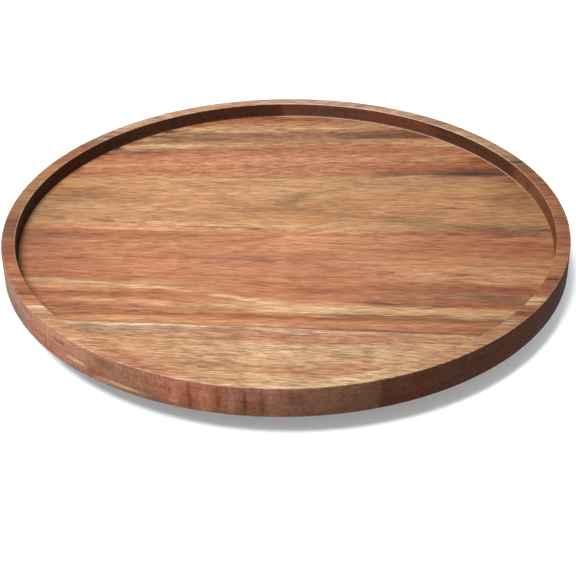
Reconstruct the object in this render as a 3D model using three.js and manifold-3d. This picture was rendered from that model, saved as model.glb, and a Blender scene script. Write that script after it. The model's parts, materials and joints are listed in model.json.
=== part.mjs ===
// Lazy susan turntable: a rimmed round acacia tray that turns on a stamped steel ball bearing over a small
// round base disc with rubber feet. Millimetres, +Z up, origin on the table under the spin axis. -Y is the
// front, and the boards of the tray run along X.
import * as THREE from "three";
import { mergeVertices } from "three/addons/utils/BufferGeometryUtils.js";
import Module from "manifold-3d";

const wasm = await Module();
wasm.setup();

// Driving dimensions of the tray.
const TRAY_DIAMETER = 305;
const TRAY_RADIUS = TRAY_DIAMETER / 2;
const TRAY_THICKNESS = 16.4;
const RIM_WIDTH = 7.3;
const RECESS_DEPTH = 8.2;
const TRAY_EDGE_BREAK = 0.5;
const GLUE_GAP = 0.2;
// Glue lines in plan, back to front: where each crosses X = 0, and its angle to the X axis in degrees.
const GLUE_LINES = [
  { centreY: 66.2, angle: 0 },
  { centreY: -0.4, angle: -2.8 },
  { centreY: -92.7, angle: -4.9 },
];
const STAVE_NAMES = ["tray_stave_back", "tray_stave_mid_back", "tray_stave_mid_front", "tray_stave_front"];

// Base disc and its feet.
const FOOT_STAND = 2.0;
const FOOT_POCKET_DEPTH = 1.0;
const FOOT_RADIUS = 8.0;
const FOOT_SOLE_RADIUS = 6.4;
const FOOT_TAPER_HEIGHT = 1.2;
const FOOT_CIRCLE_RADIUS = 80;
const BASE_RADIUS = 95;
const BASE_THICKNESS = 6.0;
const BASE_EDGE_BREAK = 1.2;
const ACCESS_HOLE_RADIUS = 10;

// Bearing: two square stamped plates with a ball race between them.
const BEARING_HEIGHT = 7.8;
const PLATE_SIDE = 102;
const PLATE_CORNER_RADIUS = 6;
const SHEET = 1.0;
const BALL_RADIUS = 2.38;
const BALL_COUNT = 16;
const PITCH_RADIUS = 34;
const GROOVE_RADIUS = 2.55;
const BALL_CLEARANCE = 0.04;
const GROOVE_END_ANGLE = 30;
const CREST_WIDTH = 1.3;
const CREST_RUN_OUT = 1.1;
const HUB_RADIUS = 14;
const HUB_FLANGE_WIDTH = 4;
const HUB_FLANGE_LIFT = 0.6;
const HUB_GAP = 0.3;
const CAGE_THICKNESS = 1.2;
const CAGE_HALF_WIDTH = 4.2;
const CAGE_POCKET_GAP = 0.12;

// Screws that hold the plates to the wood.
const SCREW_OFFSET = 44;
const SCREW_CIRCLE_RADIUS = SCREW_OFFSET * Math.SQRT2;
const SCREW_HEAD_RADIUS = 3.5;
const SCREW_HEAD_HEIGHT = 2.1;
const SCREW_HEAD_FLAT_RADIUS = 2.45;
const SCREW_HEAD_SIDE_HEIGHT = 0.95;
const SCREW_SHANK_RADIUS = 1.75;
const SCREW_TIP_LENGTH = 1.6;
const TOP_SCREW_LENGTH = 6.6;
const BASE_SCREW_LENGTH = 5.2;
const SCREW_SLOT_WIDTH = 1.0;
const SCREW_SLOT_LENGTH = 3.8;
const SCREW_SLOT_DEPTH = 1.3;
const PLATE_HOLE_RADIUS = 2.2;
const PILOT_GAP = 0.3;

// Segments round a full circle, and how far a cutting tool runs past the face that it cuts.
const TRAY_SEGMENTS = 120;
const BASE_SEGMENTS = 96;
const PLATE_SEGMENTS = 48;
const SMALL_SEGMENTS = 18;
const BALL_SEGMENTS = 12;
const CUT_PAST = 1;

// Heights that follow from the dimensions above.
const BASE_BOTTOM = FOOT_STAND;
const BASE_TOP = BASE_BOTTOM + BASE_THICKNESS;
const TRAY_BOTTOM = BASE_TOP + BEARING_HEIGHT;
const TRAY_TOP = TRAY_BOTTOM + TRAY_THICKNESS;
const RECESS_FLOOR = TRAY_TOP - RECESS_DEPTH;
const BALL_HEIGHT = (BASE_TOP + TRAY_BOTTOM) / 2;

const acacia = (color) => new THREE.MeshStandardMaterial({ color, roughness: 0.5, metalness: 0 });
const MATERIALS = {
  backBoard: acacia(0xb07a50),
  midBackBoard: acacia(0xbd8e60),
  midFrontBoard: acacia(0xb87450),
  frontBoard: acacia(0xc89c6e),
  base: acacia(0xa87650),
  zincPlate: new THREE.MeshStandardMaterial({ color: 0xb9bcc0, roughness: 0.35, metalness: 1 }),
  screw: new THREE.MeshStandardMaterial({ color: 0xc4c0b4, roughness: 0.3, metalness: 1 }),
  ball: new THREE.MeshStandardMaterial({ color: 0xd0d2d6, roughness: 0.12, metalness: 1 }),
  cage: new THREE.MeshStandardMaterial({ color: 0xe6e4dc, roughness: 0.55, metalness: 0 }),
  rubber: new THREE.MeshStandardMaterial({ color: 0x232323, roughness: 0.85, metalness: 0 }),
};
const BOARD_MATERIALS = [
  MATERIALS.backBoard,
  MATERIALS.midBackBoard,
  MATERIALS.midFrontBoard,
  MATERIALS.frontBoard,
];

// A closed geometry as a manifold-3d solid.
function solid(geometry) {
  const bare = geometry.clone();
  bare.deleteAttribute("normal");
  bare.deleteAttribute("uv");
  const merged = mergeVertices(bare);
  const vertProperties = new Float32Array(merged.attributes.position.array);
  const triVerts = new Uint32Array(merged.index.array);
  return new wasm.Manifold(new wasm.Mesh({ numProp: 3, vertProperties, triVerts }));
}

// A manifold-3d solid as a geometry.
function geometryOf(body) {
  const mesh = body.getMesh();
  const geometry = new THREE.BufferGeometry();
  geometry.setAttribute("position", new THREE.BufferAttribute(mesh.vertProperties, 3));
  geometry.setIndex(new THREE.BufferAttribute(mesh.triVerts, 1));
  geometry.computeVertexNormals();
  return geometry;
}

// A solid turned about the Z axis from an outline of [radius, height] points, listed counterclockwise.
function turned(outline, segments) {
  const points = outline.map(([radius, height]) => new THREE.Vector2(radius, height));
  const closesOnAxis = outline[0][0] === 0 && outline[outline.length - 1][0] === 0;
  if (!closesOnAxis) points.push(points[0].clone());
  return new THREE.LatheGeometry(points, segments).rotateX(Math.PI / 2);
}

// A round bar along Z.
function bar(radius, bottom, top, segments = SMALL_SEGMENTS) {
  const geometry = new THREE.CylinderGeometry(radius, radius, top - bottom, segments);
  return geometry.rotateX(Math.PI / 2).translate(0, 0, (bottom + top) / 2);
}

// An upright prism over a flat shape.
function prism(shape, bottom, top) {
  const options = { depth: top - bottom, bevelEnabled: false, curveSegments: 6 };
  const geometry = new THREE.ExtrudeGeometry(shape, options);
  return geometry.translate(0, 0, bottom);
}

// The outline of bent sheet metal: its centre line widened by half the sheet's thickness on both sides.
function sheetOutline(centreLine, thickness) {
  const points = centreLine.map(([radius, height]) => new THREE.Vector2(radius, height));
  const side = (sign) =>
    points.map((point, i) => {
      const before = point.clone().sub(points[Math.max(i - 1, 0)]).normalize();
      const after = points[Math.min(i + 1, points.length - 1)].clone().sub(point).normalize();
      const first = before.length() ? before : after;
      const last = after.length() ? after : before;
      const normal = new THREE.Vector2(-first.y - last.y, first.x + last.x).normalize();
      const mitre = normal.dot(new THREE.Vector2(-last.y, last.x));
      return point.clone().addScaledVector(normal, (sign * thickness) / 2 / mitre);
    });
  return [...side(-1), ...side(1).reverse()].map((point) => [point.x, point.y]);
}

function place(name, geometry, material) {
  const mesh = new THREE.Mesh(geometry, material);
  mesh.name = name;
  return mesh;
}

// Plan positions of n points on a circle about the Z axis.
function onCircle(radius, count, startAngle) {
  return Array.from({ length: count }, (_, i) => {
    const angle = startAngle + (i * 2 * Math.PI) / count;
    return { x: radius * Math.cos(angle), y: radius * Math.sin(angle), angle };
  });
}

const TOP_SCREW_PLACES = onCircle(SCREW_CIRCLE_RADIUS, 4, Math.PI / 4);
const BASE_SCREW_PLACES = onCircle(SCREW_CIRCLE_RADIUS, 4, 0);
const FOOT_PLACES = onCircle(FOOT_CIRCLE_RADIUS, 4, 0);

// The whole tray: a flat disc with a raised rim and broken edges, and blind pilot holes for the screws.
function trayPanel() {
  const rimInner = TRAY_RADIUS - RIM_WIDTH;
  const outline = [
    [0, TRAY_BOTTOM],
    [TRAY_RADIUS - TRAY_EDGE_BREAK, TRAY_BOTTOM],
    [TRAY_RADIUS, TRAY_BOTTOM + TRAY_EDGE_BREAK],
    [TRAY_RADIUS, TRAY_TOP - TRAY_EDGE_BREAK],
    [TRAY_RADIUS - TRAY_EDGE_BREAK, TRAY_TOP],
    [rimInner + TRAY_EDGE_BREAK, TRAY_TOP],
    [rimInner, TRAY_TOP - TRAY_EDGE_BREAK],
    [rimInner, RECESS_FLOOR],
    [0, RECESS_FLOOR],
  ];
  let panel = solid(turned(outline, TRAY_SEGMENTS));
  const holeTop = TRAY_BOTTOM - SHEET + TOP_SCREW_LENGTH + PILOT_GAP;
  for (const { x, y } of TOP_SCREW_PLACES) {
    const hole = bar(SCREW_SHANK_RADIUS + PILOT_GAP, TRAY_BOTTOM - CUT_PAST, holeTop).translate(x, y, 0);
    panel = panel.subtract(solid(hole));
  }
  return panel;
}

// The glue line's Y at a given X.
function glueLineY(line, x) {
  return line.centreY + x * Math.tan(THREE.MathUtils.degToRad(line.angle));
}

// The stretch of plan between two glue lines; a missing line means past the tray's edge.
function staveBand(behind, inFront) {
  const reach = TRAY_RADIUS + CUT_PAST;
  const backY = (x) => (behind ? glueLineY(behind, x) - GLUE_GAP / 2 : reach);
  const frontY = (x) => (inFront ? glueLineY(inFront, x) + GLUE_GAP / 2 : -reach);
  const shape = new THREE.Shape();
  shape.moveTo(-reach, frontY(-reach));
  shape.lineTo(reach, frontY(reach));
  shape.lineTo(reach, backY(reach));
  shape.lineTo(-reach, backY(-reach));
  shape.closePath();
  return prism(shape, TRAY_BOTTOM - CUT_PAST, TRAY_TOP + CUT_PAST);
}

// Four boards, edge-glued: each is the part of the tray between two glue lines.
function trayStaves() {
  const panel = trayPanel();
  return STAVE_NAMES.map((name, i) => {
    const band = solid(staveBand(GLUE_LINES[i - 1], GLUE_LINES[i]));
    return place(name, geometryOf(panel.intersect(band)), BOARD_MATERIALS[i]);
  });
}

// Points along the centre line of a plate's race groove, from its outer lip to its inner one. The groove is a
// little wider than the ball, so that the ball runs on its bottom.
function grooveArc() {
  const steps = 8;
  const centre = BALL_HEIGHT + GROOVE_RADIUS - BALL_RADIUS - BALL_CLEARANCE;
  const radius = GROOVE_RADIUS + SHEET / 2;
  return Array.from({ length: steps + 1 }, (_, i) => {
    const angle = THREE.MathUtils.degToRad(-GROOVE_END_ANGLE - (i * (180 - 2 * GROOVE_END_ANGLE)) / steps);
    return [PITCH_RADIUS + radius * Math.cos(angle), centre + radius * Math.sin(angle)];
  });
}

// The plate's centre line from beyond its corners in to the shelf inside the race.
function raceCentreLine() {
  const groove = grooveArc();
  const [lipRadius, lipHeight] = groove[0];
  const crestEnd = lipRadius + CREST_WIDTH;
  const flat = BASE_TOP + SHEET / 2;
  return [[PLATE_SIDE, flat], [crestEnd + CREST_RUN_OUT, flat], [crestEnd, lipHeight], ...groove];
}

// The same line turned over, for the upper plate.
function mirrored(line) {
  return line.map(([radius, height]) => [radius, 2 * BALL_HEIGHT - height]);
}

// A square plate cut from a turned sheet, with a screw hole in each corner.
function stampedPlate(centreLine, spin) {
  const half = PLATE_SIDE / 2;
  const straight = half - PLATE_CORNER_RADIUS;
  const square = new THREE.Shape();
  square.absarc(straight, straight, PLATE_CORNER_RADIUS, 0, Math.PI / 2);
  square.absarc(-straight, straight, PLATE_CORNER_RADIUS, Math.PI / 2, Math.PI);
  square.absarc(-straight, -straight, PLATE_CORNER_RADIUS, Math.PI, 1.5 * Math.PI);
  square.absarc(straight, -straight, PLATE_CORNER_RADIUS, 1.5 * Math.PI, 2 * Math.PI);
  const blank = solid(prism(square, BASE_TOP - CUT_PAST, TRAY_BOTTOM + CUT_PAST).rotateZ(spin));
  let plate = solid(turned(sheetOutline(centreLine, SHEET), PLATE_SEGMENTS)).intersect(blank);
  for (const { x, y } of onCircle(SCREW_CIRCLE_RADIUS, 4, spin + Math.PI / 4)) {
    const hole = bar(PLATE_HOLE_RADIUS, BASE_TOP - CUT_PAST, TRAY_BOTTOM + CUT_PAST);
    plate = plate.subtract(solid(hole.translate(x, y, 0)));
  }
  return geometryOf(plate);
}

// The lower plate ends in a plain hole that the upper plate's hub passes through.
function bottomPlate() {
  const line = raceCentreLine();
  const shelf = line[line.length - 1][1];
  line.push([HUB_RADIUS + SHEET / 2 + HUB_GAP, shelf]);
  const geometry = stampedPlate(line.reverse(), Math.PI / 4);
  return place("bearing_bottom_plate", geometry, MATERIALS.zincPlate);
}

// The upper plate's hub goes down through the lower plate and is rolled out under it, so they can't part.
function topPlate() {
  const line = mirrored(raceCentreLine());
  const shelf = line[line.length - 1][1];
  const flange = BASE_TOP + HUB_FLANGE_LIFT + SHEET / 2;
  line.push([HUB_RADIUS, shelf], [HUB_RADIUS, flange], [HUB_RADIUS + HUB_FLANGE_WIDTH, flange]);
  const geometry = stampedPlate(line, 0);
  return place("bearing_top_plate", geometry, MATERIALS.zincPlate);
}

const BALL_PLACES = onCircle(PITCH_RADIUS, BALL_COUNT, 0);

// A flat ring that keeps the balls apart.
function ballCage() {
  const inner = PITCH_RADIUS - CAGE_HALF_WIDTH;
  const outer = PITCH_RADIUS + CAGE_HALF_WIDTH;
  const bottom = BALL_HEIGHT - CAGE_THICKNESS / 2;
  const top = BALL_HEIGHT + CAGE_THICKNESS / 2;
  const outline = [[inner, bottom], [outer, bottom], [outer, top], [inner, top]];
  let ring = solid(turned(outline, PLATE_SEGMENTS));
  for (const { x, y } of BALL_PLACES) {
    const pocket = bar(BALL_RADIUS + CAGE_POCKET_GAP, bottom - CUT_PAST, top + CUT_PAST);
    ring = ring.subtract(solid(pocket.translate(x, y, 0)));
  }
  return place("ball_cage", geometryOf(ring), MATERIALS.cage);
}

// One ball in each pocket, its poles on the radial line that it rolls about.
function balls() {
  return BALL_PLACES.map(({ x, y, angle }, i) => {
    const sphere = new THREE.SphereGeometry(BALL_RADIUS, BALL_SEGMENTS, BALL_SEGMENTS / 2);
    const ball = place(numbered("bearing_ball", i), sphere.rotateZ(-Math.PI / 2), MATERIALS.ball);
    ball.position.set(x, y, BALL_HEIGHT);
    ball.rotation.z = angle;
    return ball;
  });
}

function numbered(name, index) {
  return name + "_" + String(index + 1).padStart(2, "0");
}

// A pan head wood screw along +Z: the head is below z = 0 and has a cross recess, the point is at the top.
function woodScrew(length) {
  const outline = [
    [0, -SCREW_HEAD_HEIGHT],
    [SCREW_HEAD_FLAT_RADIUS, -SCREW_HEAD_HEIGHT],
    [SCREW_HEAD_RADIUS, -SCREW_HEAD_SIDE_HEIGHT],
    [SCREW_HEAD_RADIUS, 0],
    [SCREW_SHANK_RADIUS, 0],
    [SCREW_SHANK_RADIUS, length - SCREW_TIP_LENGTH],
    [0, length],
  ];
  const slot = new THREE.BoxGeometry(SCREW_SLOT_LENGTH, SCREW_SLOT_WIDTH, 2 * SCREW_SLOT_DEPTH);
  slot.translate(0, 0, -SCREW_HEAD_HEIGHT);
  const cross = solid(slot).add(solid(slot.clone().rotateZ(Math.PI / 2)));
  return geometryOf(solid(turned(outline, SMALL_SEGMENTS)).subtract(cross));
}

function topPlateScrews() {
  const geometry = woodScrew(TOP_SCREW_LENGTH);
  return TOP_SCREW_PLACES.map(({ x, y, angle }, i) => {
    const screw = place(numbered("top_plate_screw", i), geometry, MATERIALS.screw);
    screw.position.set(x, y, TRAY_BOTTOM - SHEET);
    screw.rotation.z = angle;
    return screw;
  });
}

function bottomPlateScrews() {
  const geometry = woodScrew(BASE_SCREW_LENGTH).rotateX(Math.PI);
  return BASE_SCREW_PLACES.map(({ x, y, angle }, i) => {
    const screw = place(numbered("bottom_plate_screw", i), geometry, MATERIALS.screw);
    screw.position.set(x, y, BASE_TOP + SHEET);
    screw.rotation.z = angle;
    return screw;
  });
}

// The base disc has a hole for a screwdriver under one top plate screw, blind pilot holes, and foot pockets.
function baseDisc() {
  const outline = [
    [0, BASE_BOTTOM],
    [BASE_RADIUS - BASE_EDGE_BREAK, BASE_BOTTOM],
    [BASE_RADIUS, BASE_BOTTOM + BASE_EDGE_BREAK],
    [BASE_RADIUS, BASE_TOP - BASE_EDGE_BREAK],
    [BASE_RADIUS - BASE_EDGE_BREAK, BASE_TOP],
    [0, BASE_TOP],
  ];
  let disc = solid(turned(outline, BASE_SEGMENTS));
  const access = TOP_SCREW_PLACES[0];
  const hole = bar(ACCESS_HOLE_RADIUS, BASE_BOTTOM - CUT_PAST, BASE_TOP + CUT_PAST, 2 * SMALL_SEGMENTS);
  disc = disc.subtract(solid(hole.translate(access.x, access.y, 0)));
  const pilotBottom = BASE_TOP + SHEET - BASE_SCREW_LENGTH - PILOT_GAP;
  for (const { x, y } of BASE_SCREW_PLACES) {
    const pilot = bar(SCREW_SHANK_RADIUS + PILOT_GAP, pilotBottom, BASE_TOP + CUT_PAST);
    disc = disc.subtract(solid(pilot.translate(x, y, 0)));
  }
  for (const { x, y } of FOOT_PLACES) {
    const pocket = bar(FOOT_RADIUS + PILOT_GAP, BASE_BOTTOM - CUT_PAST, BASE_BOTTOM + FOOT_POCKET_DEPTH);
    disc = disc.subtract(solid(pocket.translate(x, y, 0)));
  }
  return place("base_disc", geometryOf(disc), MATERIALS.base);
}

// Stick-on rubber feet with a tapered lower edge, each set in its pocket.
function rubberFeet() {
  const top = BASE_BOTTOM + FOOT_POCKET_DEPTH;
  const outline = [
    [0, 0],
    [FOOT_SOLE_RADIUS, 0],
    [FOOT_RADIUS, FOOT_TAPER_HEIGHT],
    [FOOT_RADIUS, top],
    [0, top],
  ];
  const geometry = turned(outline, SMALL_SEGMENTS);
  return FOOT_PLACES.map(({ x, y }, i) => {
    const foot = place(numbered("rubber_foot", i), geometry, MATERIALS.rubber);
    foot.position.set(x, y, 0);
    return foot;
  });
}

const turntable = new THREE.Group();

const spinningTray = new THREE.Group();
spinningTray.add(...trayStaves(), topPlate(), ...topPlateScrews());

const ballSet = new THREE.Group();
ballSet.add(ballCage(), ...balls());

const base = new THREE.Group();
base.add(baseDisc(), bottomPlate(), ...bottomPlateScrews(), ...rubberFeet());

turntable.add(base, ballSet, spinningTray);

export default turntable;
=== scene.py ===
"""Looks for the lazy susan turntable: an acacia tray on a steel ball bearing over a small wooden base.

Metres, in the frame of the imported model: +Z up, the table at z = 0, the spin axis at x = y = 0, the
front at -Y. The wood is described in tray radii: (0, 0) is the middle of the tray and (0, -1) the front
of its rim.
"""

import json
import math

import bmesh
import bpy
from mathutils import Matrix, Vector


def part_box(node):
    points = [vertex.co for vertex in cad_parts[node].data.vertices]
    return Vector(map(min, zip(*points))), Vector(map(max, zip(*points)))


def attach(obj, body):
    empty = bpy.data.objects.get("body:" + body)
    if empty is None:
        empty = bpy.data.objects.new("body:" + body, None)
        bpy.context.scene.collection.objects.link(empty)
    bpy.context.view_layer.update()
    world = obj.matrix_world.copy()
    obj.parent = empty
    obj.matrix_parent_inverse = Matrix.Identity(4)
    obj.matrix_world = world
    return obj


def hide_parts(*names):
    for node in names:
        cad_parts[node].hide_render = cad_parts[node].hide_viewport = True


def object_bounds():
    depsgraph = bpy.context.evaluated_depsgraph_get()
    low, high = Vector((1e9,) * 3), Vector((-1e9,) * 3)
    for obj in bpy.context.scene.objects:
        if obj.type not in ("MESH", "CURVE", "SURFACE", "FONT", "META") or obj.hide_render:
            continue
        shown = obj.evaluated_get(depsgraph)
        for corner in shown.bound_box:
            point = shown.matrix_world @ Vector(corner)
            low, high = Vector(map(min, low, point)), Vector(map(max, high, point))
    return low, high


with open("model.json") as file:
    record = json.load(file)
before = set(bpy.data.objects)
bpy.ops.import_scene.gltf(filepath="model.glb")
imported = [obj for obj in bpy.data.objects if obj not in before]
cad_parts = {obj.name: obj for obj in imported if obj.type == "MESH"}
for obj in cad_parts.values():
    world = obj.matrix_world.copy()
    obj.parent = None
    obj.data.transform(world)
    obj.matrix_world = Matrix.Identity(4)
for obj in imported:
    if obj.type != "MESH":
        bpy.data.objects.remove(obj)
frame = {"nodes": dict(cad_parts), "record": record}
CAD_BOX = [list(corner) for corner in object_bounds()]

MM = 0.001
STAVES = ["tray_stave_back", "tray_stave_mid_back", "tray_stave_mid_front", "tray_stave_front"]

# The tray's radius and heights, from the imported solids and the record.
RADIUS = CAD_BOX[1][0]
TRAY_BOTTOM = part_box(STAVES[0])[0].z
TRAY_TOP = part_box(STAVES[0])[1].z
RECESS_FLOOR = next(m["pos_m"][2] for m in frame["record"]["mounts"] if m["name"] == "tray_floor")
RIM_WIDTH = 7.3 * MM
HEEL = 1 - RIM_WIDTH / RADIUS  # the rim's inner edge, in tray radii
BALL_RADIUS = 2.38 * MM
BALL_COUNT, FOOT_COUNT = 16, 4

# ---------------------------------------------------------------- node graphs

DEEP = 50  # a streak's half height: it goes right through the board


class Graph:
    """A material's node tree; each call adds a node and gives back its output."""

    def __init__(self, name):
        self.material = bpy.data.materials.new(name)
        self.material.use_nodes = True
        self.tree = self.material.node_tree
        self.shader = self.tree.nodes["Principled BSDF"]

    def feed(self, socket, value):
        """Links a socket to another node's output, or sets it to a value."""
        if isinstance(value, bpy.types.NodeSocket):
            self.tree.links.new(value, socket)
        else:
            socket.default_value = value

    def node(self, kind, inputs, **settings):
        made = self.tree.nodes.new("ShaderNode" + kind)
        for key, value in settings.items():
            setattr(made, key, value)
        for key, value in inputs.items():
            self.feed(made.inputs[key], value)
        return made

    def set(self, **inputs):
        for name, value in inputs.items():
            self.feed(self.shader.inputs[name.replace("_", " ")], value)

    def position(self):
        """The place on the object, in tray radii."""
        coords = self.node("TexCoord", {}).outputs["Object"]
        return self.node("VectorMath", {0: coords, "Scale": 1 / RADIUS}, operation="SCALE").outputs[0]

    def split(self, vector):
        return self.node("SeparateXYZ", {0: vector}).outputs[:]

    def join(self, x, y, z=0.0):
        return self.node("CombineXYZ", {0: x, 1: y, 2: z}).outputs[0]

    def turn(self, vector, degrees):
        """Turned about Z."""
        turned = {"Vector": vector, "Angle": math.radians(degrees)}
        return self.node("VectorRotate", turned, rotation_type="Z_AXIS").outputs[0]

    def stretch(self, vector, x, y, z=1.0):
        return self.node("VectorMath", {0: vector, 1: (x, y, z)}, operation="MULTIPLY").outputs[0]

    def bearing(self, place):
        """The direction from the middle, 0 to 360 degrees from +X."""
        x, y, _ = self.split(place)
        turns = self.math("DIVIDE", self.math("ARCTAN2", y, x), 2 * math.pi)
        return self.math("MULTIPLY", self.math("FRACT", self.math("ADD", turns, 1.0)), 360.0)

    def radius(self, place):
        """The distance from the spin axis."""
        x, y, _ = self.split(place)
        return self.node("VectorMath", {0: self.join(x, y)}, operation="LENGTH").outputs["Value"]

    def math(self, operation, a, b=0.0, c=0.0):
        return self.node("Math", {0: a, 1: b, 2: c}, operation=operation).outputs[0]

    def noise(self, vector, detail=3.0, roughness=0.55, distortion=0.0):
        made = {"Vector": vector, "Scale": 1.0, "Detail": detail, "Roughness": roughness}
        return self.node("TexNoise", {**made, "Distortion": distortion}).outputs[0]

    def remap(self, value, start, end, low=0.0, high=1.0):
        """Smoothly from low at start to high at end, and level outside."""
        made = {0: value, 1: start, 2: end, 3: low, 4: high}
        return self.node("MapRange", made, interpolation_type="SMOOTHSTEP").outputs[0]

    def mix(self, factor, a, b, blend="MIX"):
        return self.node("Mix", {0: factor, 6: a, 7: b}, data_type="RGBA", blend_type=blend).outputs[2]

    def ramp(self, value, stops, start, end):
        """A colour for each value from start to end; stops are (value, tone name)."""
        made = self.node("ValToRGB", {0: self.node("MapRange", {0: value, 1: start, 2: end}).outputs[0]})
        elements = made.color_ramp.elements
        places = sorted(((at - start) / (end - start), name) for at, name in stops)
        while len(elements) < len(places):
            elements.new(0.5)
        for element, (at, name) in zip(elements, places):
            element.position = at
            element.color = tone(name)
        return made.outputs[0]

    def stroke(self, colour, place, name, x, y, length, width, angle=0.0, strength=0.7, fray=0.0):
        """Blends in a streak of a tone: middle, half length, half width, slope; fray roughens its edge."""
        local = {"Vector": place, "Location": (x, y, 0), "Scale": (length, width, DEEP)}
        local["Rotation"] = (0, 0, math.radians(angle))
        away = self.node("Mapping", local, vector_type="TEXTURE").outputs[0]
        reach = self.node("VectorMath", {0: away}, operation="LENGTH").outputs["Value"]
        reach = self.math("MULTIPLY_ADD", fray, 0.9, reach)
        return self.mix(self.remap(reach, 1.0, 0.3, 0.0, strength), colour, tone(name))


# ---------------------------------------------------------------- wood

# Wood tones as they look in full light, sRGB.
TONES = {
    "glint": (246, 214, 190),
    "cream": (224, 186, 146),
    "bone": (206, 170, 140),
    "straw": (210, 165, 124),
    "honey": (206, 153, 109),
    "tan": (193, 140, 100),
    "apricot": (211, 150, 110),
    "salmon": (201, 135, 99),
    "rose": (194, 130, 102),
    "blush": (187, 135, 108),
    "fawn": (174, 140, 118),
    "russet": (179, 119, 91),
    "petal": (220, 180, 152),
    "walnut": (165, 122, 94),
    "cocoa": (147, 99, 74),
    "terracotta": (186, 119, 85),
    "rust": (164, 96, 64),
    "mauve": (166, 119, 94),
    "olive": (162, 124, 88),
    "umber": (132, 86, 62),
    "smoke": (122, 91, 66),
    "char": (84, 57, 41),
}
FULL_LIGHT = 2.0


def tone(name):
    """A named tone as a linear albedo."""

    def linear(value):
        value /= 255
        return value / 12.92 if value < 0.04045 else ((value + 0.055) / 1.055) ** 2.4

    return tuple(linear(value) / FULL_LIGHT for value in TONES[name]) + (1.0,)


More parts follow.
